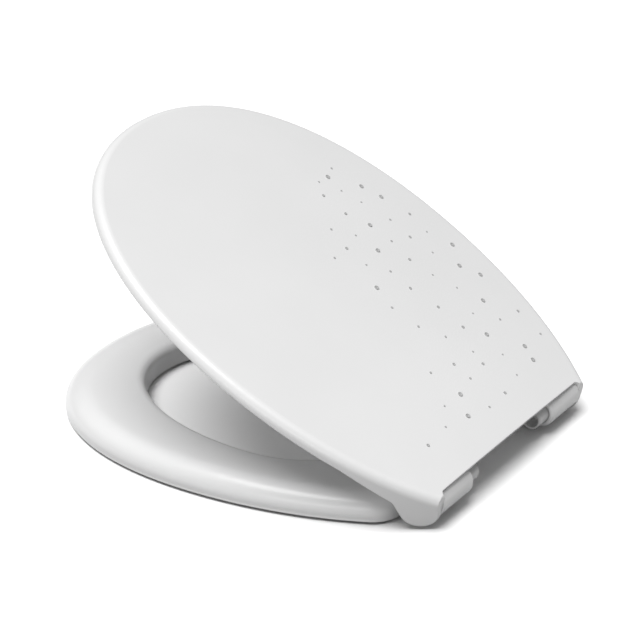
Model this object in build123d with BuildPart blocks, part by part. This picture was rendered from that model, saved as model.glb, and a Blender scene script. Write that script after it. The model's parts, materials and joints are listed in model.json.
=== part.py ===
from build123d import *
import os
from math import acos, asin, atan2, cos, degrees, hypot, radians, sin, sqrt

# A toilet seat with a soft-close hinge: a lid and a ring turn on one axis, round two damper cartridges.
# Each piece is drawn about the hinge axis, which is X: the front is -Y, up is +Z, lengths are millimetres.
# At the end every piece is lifted to its place over the bowl, and the lid's own pieces are tilted open.

# Place of the hinge axis over the bowl's rim, and how far open the lid stands
hinge_height = 20.5
hinge_behind_centre = 195.85
lid_open_angle = 30.4

# Lid: an egg outline, widest some way ahead of the hinge
lid_half_width = 187.5
widest_ahead = 193.5
lid_front_depth = 222.5
lid_rear_depth = 275.0
front_fullness = 2.19
rear_fullness = 2.0
lid_rear_reach = 30.0
lid_top = 18.5
lid_crown = 7.0
lid_front_fall = 6.0
lid_apex_ahead = 60.0
lid_rim = 2.0
lid_wall = 4.5
lid_plate = 4.0
lid_edge_radius = 7.5
lid_rear_edge = 2.2
rear_corner_radius = 5.0

# Lobes: the cheeks at the lid's rear corners that reach down beside the hinge
lobe_width = 14.2
lobe_radius = 12.8
lobe_behind = 0.5
lobe_below = 4.5
lobe_lean = 22.0
lobe_front = 22.0
lobe_top_radius = 3.0
rim_dip_start = 62.0
rim_dip_end = 19.5
rim_dip = 5.5
rim_dip_radius = 80.0
neck_radius = 5.0

# Ring
ring_inset = 11.5
ring_bottom = -17.7
ring_top = 4.4
ring_wall = 5.0
ring_rear = 25.0
ring_corner_radius = 28.0
ring_front_round = (32.0, 20.0)
ring_side_round = (18.0, 13.0)
ring_rear_round = (7.0, 7.0)
ring_inner_radius = 8.0

# Opening in the ring
opening_half_width = 122.3
opening_widest_ahead = 166.5
opening_front_depth = 171.8
opening_rear_depth = 107.5
opening_fullness = 2.0

# Hinge barrels on the ring
barrel_radius = 12.8
barrel_length = 49.5
barrel_wall = 8.5
barrel_edge_radius = 2.5
arm_inset = 4.0
arm_overlap = 3.0
arm_root_height = 1.0

# Damper cartridges
housing_radius = 8.4
housing_reach = 16.0
socket_radius = 6.8
socket_depth = 15.0
housing_web = 3.0
chamber_radius = 6.65
cap_length = 6.0
bush_wall = 0.95
bush_setback = 1.5
rotor_radius = 4.0
vane_width = 2.4
shaft_radius = 3.2
hex_flats = 5.6
tang_thickness = 4.0
seal_section = 1.9
lid_bush_radius = 5.5
lid_bush_length = 7.5

# Buffers: soft pads with a stem, each set in from the lid's side and from its front or the hinge
ring_pad_length = 26.0
ring_pad_width = 13.0
pad_bevel = 1.0
boss_margin = 1.5
stem_radius = 3.0
stem_length = 9.0
front_pad_inset = (85.5, 94.0)
front_pad_turn = 50.0
rear_pad_inset = (63.5, 82.0)
rear_pad_turn = 75.0
lid_pad_inset = (70.5, 101.0)
lid_pad_radius = 7.0
lid_pad_seat = 7.6
lid_stem_length = 3.4

# Clearances
side_gap = 0.5
pivot_gap = 0.05
seated_gap = 0.02
open_gap = 0.3
relief_gap = 0.4

# Worked out from the values above
hinge_share = widest_ahead / lid_rear_depth
hinge_half_width = lid_half_width * (1 - hinge_share**rear_fullness) ** (1 / rear_fullness)
lobe_inner_x = hinge_half_width - lobe_width
barrel_outer_x = lobe_inner_x - side_gap
barrel_inner_x = barrel_outer_x - barrel_length
housing_inner_x = barrel_inner_x - housing_reach
pocket_end_x = barrel_outer_x - barrel_wall
housing_outer_x = pocket_end_x - side_gap
chamber_inner_x = housing_inner_x + socket_depth + housing_web
cap_inner_x = housing_outer_x - cap_length
bush_inner_radius = housing_radius + pivot_gap
bush_outer_radius = bush_inner_radius + bush_wall
pocket_radius = bush_outer_radius + seated_gap
shaft_hole_radius = shaft_radius + pivot_gap
seal_seat_radius = shaft_hole_radius + seal_section + pivot_gap
seal_seat_depth = seal_section + 2 * pivot_gap
shaft_end_x = lobe_inner_x + lid_bush_length - side_gap
lid_front = widest_ahead + lid_front_depth
front_pad_spot = (lid_half_width - front_pad_inset[0], front_pad_inset[1] - lid_front)
rear_pad_spot = (lid_half_width - rear_pad_inset[0], -rear_pad_inset[1])
lid_pad_spot = (lid_half_width - lid_pad_inset[0], lid_pad_inset[1] - lid_front)
lid_bow_reach = lid_front - lid_apex_ahead
lid_bow_radius = (lid_bow_reach**2 + lid_front_fall**2) / (2 * lid_front_fall)
cut_margin = 10.0

os.makedirs("parts", exist_ok=True)


# Outlines shared by the lid and the ring
def egg_sketch(level, half_width, widest_y, front_depth, rear_depth, fullness, rear_y=None, corner=0.0):
    """An egg outline, cut straight across at the rear where a rear line is given."""
    front_pull, rear_pull = [(8 * 0.5 ** (1 / power) - 4) / 3 for power in fullness]
    front_y = widest_y - front_depth
    back_y = widest_y + rear_depth
    with BuildSketch(Plane.XY.offset(level)) as outline:
        with BuildLine():
            Bezier(
                (0, front_y),
                (half_width * front_pull, front_y),
                (half_width, widest_y - front_depth * front_pull),
                (half_width, widest_y),
            )
            Bezier(
                (half_width, widest_y),
                (half_width, widest_y + rear_depth * rear_pull),
                (half_width * rear_pull, back_y),
                (0, back_y),
            )
            mirror(about=Plane.YZ)
        make_face()
        if rear_y is not None:
            with Locations((0, rear_y)):
                Rectangle(2 * half_width, 2 * rear_depth, align=(Align.CENTER, Align.MIN), mode=Mode.SUBTRACT)
        if corner:
            fillet(outline.vertices().group_by(Axis.Y)[-1], corner)
    return outline.sketch


def lid_outline(level, inset, rear_y):
    """The lid's outline, drawn in by an inset."""
    return egg_sketch(
        level,
        lid_half_width - inset,
        -widest_ahead,
        lid_front_depth - inset,
        lid_rear_depth - inset,
        (front_fullness, rear_fullness),
        rear_y,
    )


def ring_outline(level, front_inset, side_inset, rear_inset):
    """The ring's outer outline, drawn in from its own edge at the front, the sides and the rear."""
    return egg_sketch(
        level,
        lid_half_width - ring_inset - side_inset,
        -widest_ahead,
        lid_front_depth - ring_inset - front_inset,
        lid_rear_depth - ring_inset - side_inset,
        (front_fullness, rear_fullness),
        -ring_rear - rear_inset,
        ring_corner_radius - rear_inset,
    )


def ring_skin(inset, angles, facets):
    """The ring without its opening: its rounded edge widens from the hinge to the front."""
    top = ring_top - inset
    edge_rounds = (ring_front_round, ring_side_round, ring_rear_round)
    rounds = [(run - inset, drop - inset) for run, drop in edge_rounds]
    deepest = max(drop for run, drop in rounds)
    sections = []
    for angle in angles:
        below_top = deepest * (1 - sin(radians(angle)))
        insets = []
        for run, drop in rounds:
            rise = max(1 - below_top / drop, 0)
            insets.append(inset + run * (1 - sqrt(1 - rise**2)))
        sections.append(ring_outline(top - below_top, *insets))
    with BuildPart() as skin:
        extrude(ring_outline(ring_bottom, inset, inset, inset), amount=top - deepest - ring_bottom)
        loft(sections, ruled=facets)
    return skin.part


def opening_outline(level, margin):
    """The ring's opening, widened by a margin."""
    return egg_sketch(
        level,
        opening_half_width + margin,
        -opening_widest_ahead,
        opening_front_depth + margin,
        opening_rear_depth + margin,
        (opening_fullness, opening_fullness),
    )


def crown_body(top):
    """What lies under the lid's crowned top: a curve across the lid, swung about a far axis below it."""
    reach = lid_half_width + cut_margin
    fall = lid_crown * (reach / lid_half_width) ** 2
    swing = degrees(asin((lid_bow_reach + cut_margin) / lid_bow_radius))
    bow_centre = (0, -lid_apex_ahead, top - lid_bow_radius)
    front_plane = Plane(bow_centre, x_dir=(1, 0, 0), z_dir=(0, -cos(radians(swing)), -sin(radians(swing))))
    edge_height = lid_bow_radius - fall
    foot_height = lid_bow_radius - lid_half_width
    with BuildPart() as body:
        with BuildSketch(front_plane):
            with BuildLine():
                Bezier((-reach, edge_height), (0, lid_bow_radius + fall), (reach, edge_height))
                Polyline((reach, edge_height), (reach, foot_height), (-reach, foot_height))
                Line((-reach, foot_height), (-reach, edge_height))
            make_face()
        revolve(axis=Axis(bow_centre, (-1, 0, 0)), revolution_arc=2 * swing)
    return body.part


def lid_side_view():
    """The lid's side view: a level rim that dips into the round lobe behind."""
    lobe_centre = (lobe_behind, -lobe_below)
    dip = (-rim_dip_start, lid_rim)
    neck = (-rim_dip_end, lid_rim - rim_dip)
    to_neck = (neck[0] - lobe_centre[0], neck[1] - lobe_centre[1])
    neck_bearing = degrees(atan2(to_neck[1], to_neck[0])) % 360
    touch_bearing = neck_bearing + degrees(acos(lobe_radius / hypot(*to_neck)))
    above = lid_top + cut_margin
    front = -lid_front - cut_margin
    lobe_top = lid_top - lid_crown * (lobe_inner_x / lid_half_width) ** 2
    step_y = lid_rear_edge + side_gap
    with BuildSketch(Plane.YZ) as view:
        with BuildLine():
            round_lobe = CenterArc(lobe_centre, lobe_radius, touch_bearing, 360 + lobe_lean - touch_bearing)
            lean_end = round_lobe @ 1
            lean_y = lean_end.X - (lobe_top - lean_end.Y) * sin(radians(lobe_lean)) / cos(radians(lobe_lean))
            Polyline((front, lid_rim), dip, neck, round_lobe @ 0)
            Polyline(lean_end, (lean_y, lobe_top), (step_y, lobe_top), (step_y, above))
            Polyline((step_y, above), (front, above), (front, lid_rim))
        make_face()
        rear_top = (lean_y, lobe_top)
        for corner, radius in ((dip, rim_dip_radius), (neck, neck_radius), (rear_top, lobe_top_radius)):
            fillet(view.vertices().sort_by_distance(corner)[0], radius)
    return view.sketch


# Lid
with BuildPart() as lid_hollow:
    extrude(lid_outline(-lid_front / 4, lid_wall, lid_rear_reach), amount=lid_front / 4 + lid_top)
    add(crown_body(lid_top - lid_plate), mode=Mode.INTERSECT)
    for side in (1, -1):
        with Locations((side * (lobe_inner_x + lid_half_width / 2), lid_half_width / 2 - lobe_front, 0)):
            Box(lid_half_width, lid_half_width, lid_front, mode=Mode.SUBTRACT)
        # A boss stands in the hollow for each buffer, with a hole for its stem
        with BuildSketch(Plane.XY.offset(lid_pad_seat)):
            with Locations((side * lid_pad_spot[0], lid_pad_spot[1])):
                Circle(lid_pad_radius + boss_margin)
        extrude(amount=lid_plate, mode=Mode.SUBTRACT)
        with BuildSketch(Plane.XY.offset(lid_pad_seat)):
            with Locations((side * lid_pad_spot[0], lid_pad_spot[1])):
                Circle(stem_radius + seated_gap)
        extrude(amount=lid_stem_length)

with BuildPart() as lid:
    extrude(lid_outline(-lid_front / 4, 0, lid_rear_reach), amount=lid_front / 4 + lid_top)
    add(crown_body(lid_top), mode=Mode.INTERSECT)
    lid_roof = lid.faces().sort_by(Axis.Z)[-1]
    fillet(lid_roof.edges().filter_by(lambda edge: edge.center().Y < lid_rear_edge), lid_edge_radius)
    extrude(lid_side_view(), amount=lid_half_width + cut_margin, both=True, mode=Mode.INTERSECT)
    add(lid_hollow.part, mode=Mode.SUBTRACT)
    with BuildSketch(Plane.XY.offset(-lid_front / 4)) as rear_gap:
        with Locations((0, lid_rear_edge)):
            Rectangle(2 * lobe_inner_x, lid_half_width, align=(Align.CENTER, Align.MIN))
        fillet(rear_gap.vertices().group_by(Axis.Y)[0], rear_corner_radius)
    extrude(amount=lid_front / 2, mode=Mode.SUBTRACT)
    with BuildSketch(Plane.YZ):
        Circle(barrel_radius + relief_gap)
    extrude(amount=lobe_inner_x, both=True, mode=Mode.SUBTRACT)
    for side in (1, -1):
        with BuildSketch(Plane.YZ.offset(side * lobe_inner_x)):
            Circle(lid_bush_radius + seated_gap)
        extrude(amount=side * lid_bush_length, mode=Mode.SUBTRACT)

# Ring: a moulding that is hollow underneath
with BuildPart() as ring_hollow:
    add(ring_skin(ring_wall, (0, 30, 60, 90), facets=True))
    extrude(opening_outline(ring_bottom, ring_wall), amount=ring_top - ring_bottom, mode=Mode.SUBTRACT)
    hollow_ceiling = ring_hollow.faces().sort_by(Axis.Z)[-1]
    chamfer(hollow_ceiling.inner_wires()[0].edges(), ring_inner_radius - ring_wall)

with BuildPart() as seat_ring:
    add(ring_skin(0, (0, 30, 60, 90), facets=False))
    extrude(opening_outline(ring_bottom, 0), amount=ring_top - ring_bottom, mode=Mode.SUBTRACT)
    ring_face = seat_ring.faces().sort_by(Axis.Z)[-1]
    fillet(ring_face.inner_wires()[0].edges(), ring_inner_radius)
    add(ring_hollow.part, mode=Mode.SUBTRACT)
    # The barrels, and the arms that carry them
    arm_root = (-ring_rear - arm_overlap, arm_root_height)
    top_touch = degrees(atan2(arm_root[1], arm_root[0])) - degrees(acos(barrel_radius / hypot(*arm_root)))
    touch_point = (barrel_radius * cos(radians(top_touch)), barrel_radius * sin(radians(top_touch)))
    for side in (1, -1):
        with BuildSketch(Plane.YZ.offset(side * barrel_outer_x)):
            with BuildLine():
                Polyline(
                    arm_root,
                    touch_point,
                    (0, 0),
                    (0, -barrel_radius),
                    (arm_root[0], -barrel_radius),
                    close=True,
                )
            make_face()
        extrude(amount=-side * (barrel_outer_x - barrel_inner_x - arm_inset))
        with BuildSketch(Plane.YZ.offset(side * barrel_outer_x)):
            Circle(barrel_radius)
        extrude(amount=-side * (barrel_outer_x - barrel_inner_x))
        barrel_end = seat_ring.faces().filter_by(Plane.YZ).sort_by(
            lambda face: abs(face.center().X - side * barrel_inner_x)
        )[0]
        fillet(barrel_end.edges(), barrel_edge_radius)
        with BuildSketch(Plane.YZ.offset(side * barrel_inner_x)):
            Circle(pocket_radius)
        extrude(amount=side * (pocket_end_x - barrel_inner_x), mode=Mode.SUBTRACT)
    # The right damper drives the ring through a hexagon, and the left one's shaft passes through
    with BuildSketch(Plane.YZ.offset(pocket_end_x)):
        RegularPolygon(hex_flats / 2 + seated_gap, 6, major_radius=False)
    extrude(amount=barrel_wall, mode=Mode.SUBTRACT)
    with BuildSketch(Plane.YZ.offset(-pocket_end_x)):
        Circle(shaft_radius + open_gap)
    extrude(amount=-barrel_wall, mode=Mode.SUBTRACT)
    # Bosses inside the hollow hold the buffers' stems
    for spot, turn in ((front_pad_spot, front_pad_turn), (rear_pad_spot, rear_pad_turn)):
        for side in (1, -1):
            with BuildSketch(Plane.XY.offset(ring_bottom)):
                with Locations((side * spot[0], spot[1])):
                    SlotOverall(ring_pad_length, ring_pad_width, rotation=side * turn)
            extrude(amount=ring_top - ring_wall / 2 - ring_bottom)
            with BuildSketch(Plane.XY.offset(ring_bottom)):
                with Locations((side * spot[0], spot[1])):
                    Circle(stem_radius + seated_gap)
            extrude(amount=stem_length, mode=Mode.SUBTRACT)


# Damper cartridges: turned pieces about the hinge axis
def turned_section(side, *corners):
    """A section above the hinge axis, given as stations along the axis and radii."""
    with BuildSketch(Plane.XY) as section:
        with BuildLine():
            Polyline(*[(side * x, r) for x, r in corners], close=True)
        make_face()
    return section.sketch


def damper_housing(side):
    """A tube with a socket for the fixing post at one end and a chamber at the other."""
    with BuildPart() as housing:
        section = turned_section(
            side,
            (housing_inner_x, socket_radius),
            (housing_inner_x, housing_radius),
            (housing_outer_x, housing_radius),
            (housing_outer_x, chamber_radius),
            (chamber_inner_x, chamber_radius),
            (chamber_inner_x, 0),
            (housing_inner_x + socket_depth, 0),
            (housing_inner_x + socket_depth, socket_radius),
        )
        revolve(section, axis=Axis.X)
    return housing.part


def damper_cap(side):
    """The chamber's end cap, with a seat for the shaft seal on its inner side."""
    cap_radius = chamber_radius - seated_gap
    with BuildPart() as cap:
        section = turned_section(
            side,
            (cap_inner_x, seal_seat_radius),
            (cap_inner_x, cap_radius),
            (housing_outer_x, cap_radius),
            (housing_outer_x, shaft_hole_radius),
            (cap_inner_x + seal_seat_depth, shaft_hole_radius),
            (cap_inner_x + seal_seat_depth, seal_seat_radius),
        )
        revolve(section, axis=Axis.X)
    return cap.part


def shaft_seal(side):
    """A square-cut ring round the shaft."""
    seal_middle = cap_inner_x + seal_seat_depth / 2
    with BuildPart() as seal:
        section = turned_section(
            side,
            (seal_middle - seal_section / 2, shaft_hole_radius),
            (seal_middle - seal_section / 2, shaft_hole_radius + seal_section),
            (seal_middle + seal_section / 2, shaft_hole_radius + seal_section),
            (seal_middle + seal_section / 2, shaft_hole_radius),
        )
        revolve(section, axis=Axis.X)
    return seal.part


def hinge_bush(side):
    """The sleeve in the barrel that the housing turns in."""
    with BuildPart() as bush:
        section = turned_section(
            side,
            (barrel_inner_x + bush_setback, bush_inner_radius),
            (barrel_inner_x + bush_setback, bush_outer_radius),
            (pocket_end_x, bush_outer_radius),
            (pocket_end_x, bush_inner_radius),
        )
        revolve(section, axis=Axis.X)
    return bush.part


def damper_rotor(side, drives_lid):
    """A drum with two vanes on a shaft that drives the lid by a tang or the ring by a hexagon."""
    drum_start = chamber_inner_x + open_gap
    drum_end = cap_inner_x - open_gap
    with BuildPart() as rotor:
        section = turned_section(
            side,
            (drum_start, 0),
            (drum_start, rotor_radius),
            (drum_end, rotor_radius),
            (drum_end, shaft_radius),
            (shaft_end_x, shaft_radius),
            (shaft_end_x, 0),
        )
        revolve(section, axis=Axis.X)
        with BuildSketch(Plane.YZ.offset(side * drum_start)):
            Rectangle(vane_width, 2 * (chamber_radius - open_gap) * cos(asin(vane_width / 2 / chamber_radius)))
        extrude(amount=side * (drum_end - drum_start))
        if drives_lid:
            with BuildSketch(Plane.YZ.offset(side * lobe_inner_x)):
                Circle(shaft_radius)
                Rectangle(tang_thickness, 2 * shaft_radius, mode=Mode.SUBTRACT)
            extrude(amount=side * lid_bush_length, mode=Mode.SUBTRACT)
        else:
            with BuildSketch(Plane.YZ.offset(side * pocket_end_x)):
                Circle(shaft_radius)
                RegularPolygon(hex_flats / 2, 6, major_radius=False, mode=Mode.SUBTRACT)
            extrude(amount=side * barrel_wall, mode=Mode.SUBTRACT)
    return rotor.part


def lid_bush(side, keyed):
    """The insert in a lobe: keyed to the shaft's tang, or round for a free pivot."""
    with BuildPart() as bush:
        with BuildSketch(Plane.YZ.offset(side * lobe_inner_x)):
            Circle(lid_bush_radius)
            if keyed:
                with BuildSketch(mode=Mode.SUBTRACT):
                    Circle(shaft_radius + seated_gap)
                    Rectangle(tang_thickness + 2 * seated_gap, 4 * shaft_radius, mode=Mode.INTERSECT)
            else:
                Circle(shaft_hole_radius, mode=Mode.SUBTRACT)
        extrude(amount=side * lid_bush_length)
    return bush.part


# Buffers
def ring_buffer(side, spot, turn):
    """A soft pad under the ring, with a stem up into its boss."""
    pad_length = ring_pad_length - 2 * boss_margin
    pad_width = ring_pad_width - 2 * boss_margin
    with BuildPart() as buffer:
        with BuildSketch(Plane.XY.offset(-hinge_height)):
            with Locations((side * spot[0], spot[1])):
                SlotOverall(pad_length, pad_width, rotation=side * turn)
        extrude(amount=ring_bottom + hinge_height)
        chamfer(buffer.faces().sort_by(Axis.Z)[0].edges(), pad_bevel)
        with BuildSketch(Plane.XY.offset(ring_bottom)):
            with Locations((side * spot[0], spot[1])):
                Circle(stem_radius)
        extrude(amount=stem_length - side_gap)
    return buffer.part


def lid_buffer(side):
    """A soft pad under the lid that meets the ring's top when the lid is down."""
    pad_foot = ring_top + open_gap
    with BuildPart() as buffer:
        with BuildSketch(Plane.XY.offset(pad_foot)):
            with Locations((side * lid_pad_spot[0], lid_pad_spot[1])):
                Circle(lid_pad_radius)
        extrude(amount=lid_pad_seat - pad_foot)
        chamfer(buffer.faces().sort_by(Axis.Z)[0].edges(), pad_bevel)
        with BuildSketch(Plane.XY.offset(lid_pad_seat)):
            with Locations((side * lid_pad_spot[0], lid_pad_spot[1])):
                Circle(stem_radius)
        extrude(amount=lid_stem_length - side_gap)
    return buffer.part


# Each piece goes to its place over the bowl and is written out under its own name
hinge_place = Location((0, hinge_behind_centre, hinge_height))
open_place = hinge_place * Rotation(-lid_open_angle, 0, 0)


def write_piece(piece, name, place):
    """Place a piece and write it to its own file."""
    placed = piece.moved(place)
    placed.label = name
    export_step(placed, f"parts/{name}.step")


write_piece(lid.part, "lid", open_place)
write_piece(lid_bush(-1, keyed=True), "lid_drive_bush", open_place)
write_piece(lid_bush(1, keyed=False), "lid_pivot_bush", open_place)
write_piece(damper_rotor(-1, drives_lid=True), "lid_damper_rotor", open_place)
write_piece(seat_ring.part, "seat_ring", hinge_place)
write_piece(damper_rotor(1, drives_lid=False), "seat_damper_rotor", hinge_place)
for side, hand in ((-1, "left"), (1, "right")):
    write_piece(lid_buffer(side), f"{hand}_lid_buffer", open_place)
    write_piece(damper_housing(side), f"{hand}_damper_housing", hinge_place)
    write_piece(damper_cap(side), f"{hand}_damper_cap", hinge_place)
    write_piece(shaft_seal(side), f"{hand}_shaft_seal", hinge_place)
    write_piece(hinge_bush(side), f"{hand}_hinge_bush", hinge_place)
    write_piece(ring_buffer(side, front_pad_spot, front_pad_turn), f"front_{hand}_ring_buffer", hinge_place)
    write_piece(ring_buffer(side, rear_pad_spot, rear_pad_turn), f"rear_{hand}_ring_buffer", hinge_place)
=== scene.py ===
import json
from math import cos, pi, radians, sin

import bmesh
import bpy
from mathutils import Matrix, Vector


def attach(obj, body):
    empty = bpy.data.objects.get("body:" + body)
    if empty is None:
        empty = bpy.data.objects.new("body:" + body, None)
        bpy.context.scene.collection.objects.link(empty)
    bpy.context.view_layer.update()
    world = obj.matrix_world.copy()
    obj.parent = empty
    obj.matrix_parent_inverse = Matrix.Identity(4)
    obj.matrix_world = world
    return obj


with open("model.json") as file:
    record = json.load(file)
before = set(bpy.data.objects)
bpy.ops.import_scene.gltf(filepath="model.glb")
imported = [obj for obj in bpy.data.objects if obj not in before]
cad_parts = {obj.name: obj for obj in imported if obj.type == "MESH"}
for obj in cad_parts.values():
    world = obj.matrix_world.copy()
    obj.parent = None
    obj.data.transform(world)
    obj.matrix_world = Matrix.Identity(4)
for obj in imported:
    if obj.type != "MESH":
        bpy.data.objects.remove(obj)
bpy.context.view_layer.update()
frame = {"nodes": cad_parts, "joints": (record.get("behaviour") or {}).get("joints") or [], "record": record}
scene = bpy.context.scene
scene.view_settings.view_transform = "Standard"

# Camera: behind and to the right of the seat, looking down at it
CAMERA_PLACE = (1.52287, 0.97474, 0.89280)
CAMERA_AIM = (-0.7738, -0.4850, -0.4075)
CAMERA_LENS = 130.74
CAMERA_SENSOR = 36.0
CAMERA_FAR = 100.0

# Light: a wide soft sun from overhead, a dim even sky, and a low strip that lifts the walls on the near side
SUN_TOWARDS = (0.28, -0.06, 0.96)
SUN_PLACE = (0, 0, 3)
SUN_STRENGTH = 2.85
SUN_WIDTH = 45.0
SKY_STRENGTH = 0.25
BACKDROP_STRENGTH = 1.0
STRIP_PLACE = (2.0, 0.4, 0.35)
STRIP_SIZE = (1.5, 0.5)
STRIP_POWER = 7.0

# Finish: each noise has a scale, in cells to the metre, and a detail. Lengths are in metres
CLOUD = (9.0, 3.0)
SMEAR = (30.0, 5.0)
GRAIN = (400.0, 6.0)
GRAIN_DEPTH = 0.0002
NOISE_LOW = 0.3
NOISE_HIGH = 0.7
GLOSS_SPREAD = 0.1
REFRACTION = 1.5
COAT_ROUGHNESS = 0.16
EDGE_SOFTNESS = 0.0010
EDGE_SAMPLES = 6

# Dents scattered over one side of the lid's top, in rows from the hinge to the front, in millimetres:
# where each row starts and ends across the lid, and how many dents it has. The scatter is a sine of
# the dent's number, so it is the same in each run
DENT_ROWS = (
    (-101, 92, 7),
    (-135, 39, 7),
    (-137, 10, 6),
    (-120, -32, 4),
    (-143, -27, 4),
    (-140, -14, 4),
    (-150, -30, 5),
    (-148, -36, 5),
    (-145, -19, 6),
    (-136, -45, 4),
    (-132, -84, 3),
    (-125, -88, 3),
)
FIRST_ROW_AHEAD = 31.0
ROW_PITCH = 23.0
ROW_SCATTER = 5.0
SCATTER_STEP_ACROSS = 7
SCATTER_STEP_AHEAD = 5
DENT_DIAMETERS = (2.1, 4.0, 1.7, 2.7)
DENT_DEPTH_SHARE = 0.2
DENT_LIFT = 0.02
DENT_SIDES = 18
DROP_HEIGHT = 100.0
MILLIMETRE = 0.001

# A dent's profile from its middle out, as shares of its radius and of its depth:
# a bowl, a rim and a short fall
DENT_PROFILE = ((0.4, 0.16), (0.7, 0.49), (0.9, 0.81), (1.0, 1.0), (1.06, 0.75), (1.12, -0.2))

# Floor: its half width, how white it is where it is seen, its speckle, and how much light it throws back
FLOOR_HALF = 30.0
FLOOR_SEEN = 1.2
FLOOR_SPECKLE = (900.0, 2.0)
FLOOR_SPECKLE_SPREAD = 0.1
FLOOR_BOUNCE = 0.22


def new_material(name):
    """An empty node material with its shader, and the links to wire it."""
    material = bpy.data.materials.new(name)
    material.use_nodes = True
    nodes = material.node_tree.nodes
    return material, nodes, material.node_tree.links, nodes["Principled BSDF"]


def grey(level):
    """A neutral colour."""
    return (level, level, level, 1)


def noise(nodes, links, pattern):
    """A noise in each piece's own metres, so that it is the same size on every piece and moves with it."""
    place = nodes.new("ShaderNodeTexCoord")
    texture = nodes.new("ShaderNodeTexNoise")
    scale, detail = pattern
    texture.inputs["Scale"].default_value = scale
    texture.inputs["Detail"].default_value = detail
    links.new(place.outputs["Object"], texture.inputs["Vector"])
    return texture.outputs["Fac"]


def spread(nodes, links, value, middle, share):
    """A noise value, stretched to run a share below and above a middle value."""
    stretch = nodes.new("ShaderNodeMapRange")
    stretch.inputs["From Min"].default_value = NOISE_LOW
    stretch.inputs["From Max"].default_value = NOISE_HIGH
    stretch.inputs["To Min"].default_value = middle * (1 - share)
    stretch.inputs["To Max"].default_value = middle * (1 + share)
    links.new(value, stretch.inputs["Value"])
    return stretch.outputs["Result"]


def moulded(name, shade, roughness, coat=0.0, grain=0.02, drift=0.012):
    """A moulded material: a shade that drifts a little, uneven gloss, a fine grain and softened edges."""
    material, nodes, links, shader = new_material(name)
    tint = nodes.new("ShaderNodeValToRGB")
    low, high = tint.color_ramp.elements
    low.position = NOISE_LOW
    high.position = NOISE_HIGH
    low.color = grey(shade - drift)
    high.color = grey(shade + drift)
    links.new(noise(nodes, links, CLOUD), tint.inputs["Fac"])
    links.new(tint.outputs["Color"], shader.inputs["Base Color"])
    gloss = spread(nodes, links, noise(nodes, links, SMEAR), roughness, GLOSS_SPREAD)
    links.new(gloss, shader.inputs["Roughness"])
    shader.inputs["IOR"].default_value = REFRACTION
    shader.inputs["Coat Weight"].default_value = coat
    shader.inputs["Coat Roughness"].default_value = COAT_ROUGHNESS
    soft_edge = nodes.new("ShaderNodeBevel")
    soft_edge.samples = EDGE_SAMPLES
    soft_edge.inputs["Radius"].default_value = EDGE_SOFTNESS
    bump = nodes.new("ShaderNodeBump")
    bump.inputs["Strength"].default_value = grain
    bump.inputs["Distance"].default_value = GRAIN_DEPTH
    links.new(noise(nodes, links, GRAIN), bump.inputs["Height"])
    links.new(soft_edge.outputs["Normal"], bump.inputs["Normal"])
    links.new(bump.outputs["Normal"], shader.inputs["Normal"])
    return material


# A finish for each of the record's material slots
finishes = {
    "shell": moulded("gloss_white", 0.83, 0.32, coat=0.15),
    "cartridge": moulded("satin_white", 0.74, 0.38, grain=0.10),
    "bush": moulded("natural_plastic", 0.70, 0.45, grain=0.15),
    "rotor": moulded("dark_plastic", 0.08, 0.42, grain=0.15),
    "seal": moulded("black_rubber", 0.02, 0.60, grain=0.30, drift=0.004),
    "buffer": moulded("pale_rubber", 0.55, 0.65, grain=0.35, drift=0.02),
}
# The dents' finish is the shell's white darkened to 0.46: painted shade in the dents, on top of the shading
# their dishes get from the lamps
painted_dent_shade = moulded("dent_white_painted_shade", 0.46, 0.32, coat=0.15)
slot_of = {part["node"]: part["material_slot"] for part in frame["record"]["subparts"]}
for name, node in frame["nodes"].items():
    node.data.materials.clear()
    node.data.materials.append(finishes[slot_of[name]])

# Dents: each is a shallow dish on the lid, set square to the surface under it, with painted shade in its
# darker finish
lid_hinge = next(joint for joint in frame["joints"] if joint["name"] == "lid_hinge")
lid_tilt = radians(lid_hinge["range_deg"][0])
from_closed = Matrix.Translation(lid_hinge["pos_m"]) @ Matrix.Rotation(lid_tilt, 4, "X")
straight_down = from_closed.to_3x3() @ Vector((0, 0, -1))


def add_dish(mesh, place, normal, diameter):
    """One dent: rings of points that rise from its middle to a thin rim and fall back to the surface."""
    depth = diameter * DENT_DEPTH_SHARE
    stand = Matrix.Translation(place) @ normal.to_track_quat("Z", "Y").to_matrix().to_4x4()
    middle = mesh.verts.new(stand @ Vector((0, 0, DENT_LIFT * depth)))
    inner = None
    for share, rise in DENT_PROFILE:
        reach = share * diameter / 2
        height = (DENT_LIFT + rise) * depth
        ring = []
        for step in range(DENT_SIDES):
            turn = 2 * pi * step / DENT_SIDES
            ring.append(mesh.verts.new(stand @ Vector((reach * cos(turn), reach * sin(turn), height))))
        for step in range(DENT_SIDES):
            after = (step + 1) % DENT_SIDES
            if inner:
                mesh.faces.new((inner[step], ring[step], ring[after], inner[after]))
            else:
                mesh.faces.new((middle, ring[step], ring[after]))
        inner = ring


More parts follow.
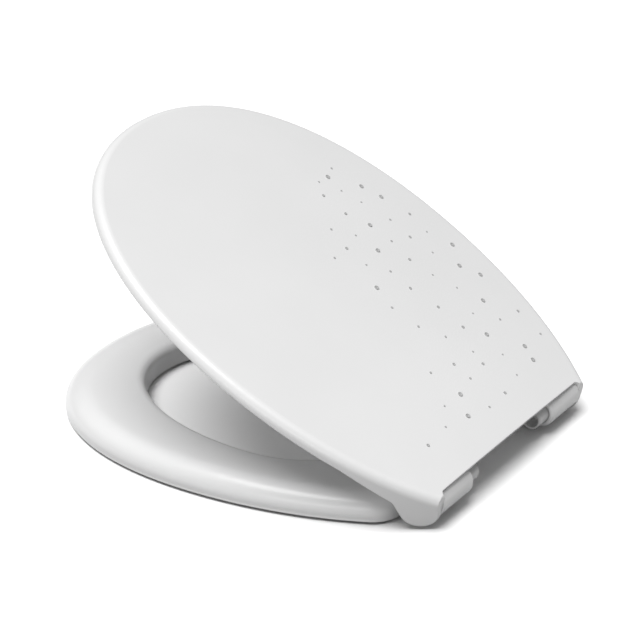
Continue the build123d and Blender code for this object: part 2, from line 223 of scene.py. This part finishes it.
dents = bmesh.new()
lid_node = frame["nodes"]["lid"]
number = 0
for row, (start, end, count) in enumerate(DENT_ROWS):
    for column in range(count):
        number += 1
        x = start + (end - start) * column / (count - 1) + ROW_SCATTER * sin(SCATTER_STEP_ACROSS * number)
        y = -FIRST_ROW_AHEAD - row * ROW_PITCH + ROW_SCATTER * sin(SCATTER_STEP_AHEAD * number)
        above = from_closed @ Vector((x * MILLIMETRE, y * MILLIMETRE, DROP_HEIGHT * MILLIMETRE))
        hit, place, normal, _ = lid_node.ray_cast(above, straight_down)
        if hit:
            diameter = DENT_DIAMETERS[number % len(DENT_DIAMETERS)] * MILLIMETRE
            add_dish(dents, place, normal, diameter)
dent_mesh = bpy.data.meshes.new("lid_dents")
dents.to_mesh(dent_mesh)
dents.free()
dent_mesh.shade_smooth()
# The dents take the darker finish, which paints shade into them
dent_mesh.materials.append(painted_dent_shade)
lid_dents = bpy.data.objects.new("lid_dents", dent_mesh)
scene.collection.objects.link(lid_dents)
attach(lid_dents, "lid")


def floor_material():
    """White where the floor is seen, duller where it only throws light back."""
    ground = bpy.data.materials.new("floor")
    ground.use_nodes = True
    nodes = ground.node_tree.nodes
    links = ground.node_tree.links
    nodes.clear()
    rays = nodes.new("ShaderNodeLightPath")
    seen = rays.outputs["Is Camera Ray"]
    for other in ("Is Glossy Ray", "Is Transmission Ray"):
        larger = nodes.new("ShaderNodeMath")
        larger.operation = "MAXIMUM"
        links.new(seen, larger.inputs[0])
        links.new(rays.outputs[other], larger.inputs[1])
        seen = larger.outputs[0]
    dull = nodes.new("ShaderNodeBsdfDiffuse")
    dull.inputs["Color"].default_value = grey(FLOOR_BOUNCE)
    white = nodes.new("ShaderNodeBsdfDiffuse")
    paint = spread(nodes, links, noise(nodes, links, FLOOR_SPECKLE), FLOOR_SEEN, FLOOR_SPECKLE_SPREAD)
    links.new(paint, white.inputs["Color"])
    either = nodes.new("ShaderNodeMixShader")
    links.new(seen, either.inputs["Fac"])
    links.new(dull.outputs["BSDF"], either.inputs[1])
    links.new(white.outputs["BSDF"], either.inputs[2])
    out = nodes.new("ShaderNodeOutputMaterial")
    links.new(either.outputs["Shader"], out.inputs["Surface"])
    return ground


# Floor
floor_mesh = bpy.data.meshes.new("floor")
floor_corners = [(x * FLOOR_HALF, y * FLOOR_HALF, 0) for x, y in ((-1, -1), (1, -1), (1, 1), (-1, 1))]
floor_mesh.from_pydata(floor_corners, [], [(0, 1, 2, 3)])
floor_mesh.materials.append(floor_material())
floor = bpy.data.objects.new("floor", floor_mesh)
scene.collection.objects.link(floor)

# Sky: a white backdrop where it is seen, and dim where it only lights
sky = bpy.data.worlds.new("sky")
scene.world = sky
sky.use_nodes = True
sky_nodes = sky.node_tree.nodes
sky_links = sky.node_tree.links
background = sky_nodes["Background"]
background.inputs["Color"].default_value = grey(1)
background.inputs["Strength"].default_value = SKY_STRENGTH
backdrop = sky_nodes.new("ShaderNodeBackground")
backdrop.inputs["Color"].default_value = grey(1)
backdrop.inputs["Strength"].default_value = BACKDROP_STRENGTH
sky_rays = sky_nodes.new("ShaderNodeLightPath")
sky_mix = sky_nodes.new("ShaderNodeMixShader")
sky_links.new(sky_rays.outputs["Is Camera Ray"], sky_mix.inputs["Fac"])
sky_links.new(background.outputs["Background"], sky_mix.inputs[1])
sky_links.new(backdrop.outputs["Background"], sky_mix.inputs[2])
sky_links.new(sky_mix.outputs["Shader"], sky_nodes["World Output"].inputs["Surface"])


def placed(name, data, place, towards):
    """A lamp or camera at a place, looking along a direction."""
    item = bpy.data.objects.new(name, data)
    item.location = place
    item.rotation_euler = Vector(towards).to_track_quat("-Z", "Y").to_euler()
    scene.collection.objects.link(item)
    return item


# Sun
sun = bpy.data.lights.new("sun", "SUN")
sun.energy = SUN_STRENGTH
sun.angle = radians(SUN_WIDTH)
placed("sun", sun, SUN_PLACE, -Vector(SUN_TOWARDS))

# Strip: it lights the part and leaves the floor's shadow as it is
strip = bpy.data.lights.new("strip", "AREA")
strip.shape = "RECTANGLE"
strip.size, strip.size_y = STRIP_SIZE
strip.energy = STRIP_POWER
strip_lamp = placed("strip", strip, STRIP_PLACE, -Vector(STRIP_PLACE))
unlit = bpy.data.collections.new("not_lit_by_the_strip")
unlit.objects.link(floor)
unlit.collection_objects[0].light_linking.link_state = "EXCLUDE"
strip_lamp.light_linking.receiver_collection = unlit

# Camera
view = bpy.data.cameras.new("camera")
view.lens = CAMERA_LENS
view.sensor_width = CAMERA_SENSOR
view.clip_end = CAMERA_FAR
scene.camera = placed("camera", view, CAMERA_PLACE, CAMERA_AIM)
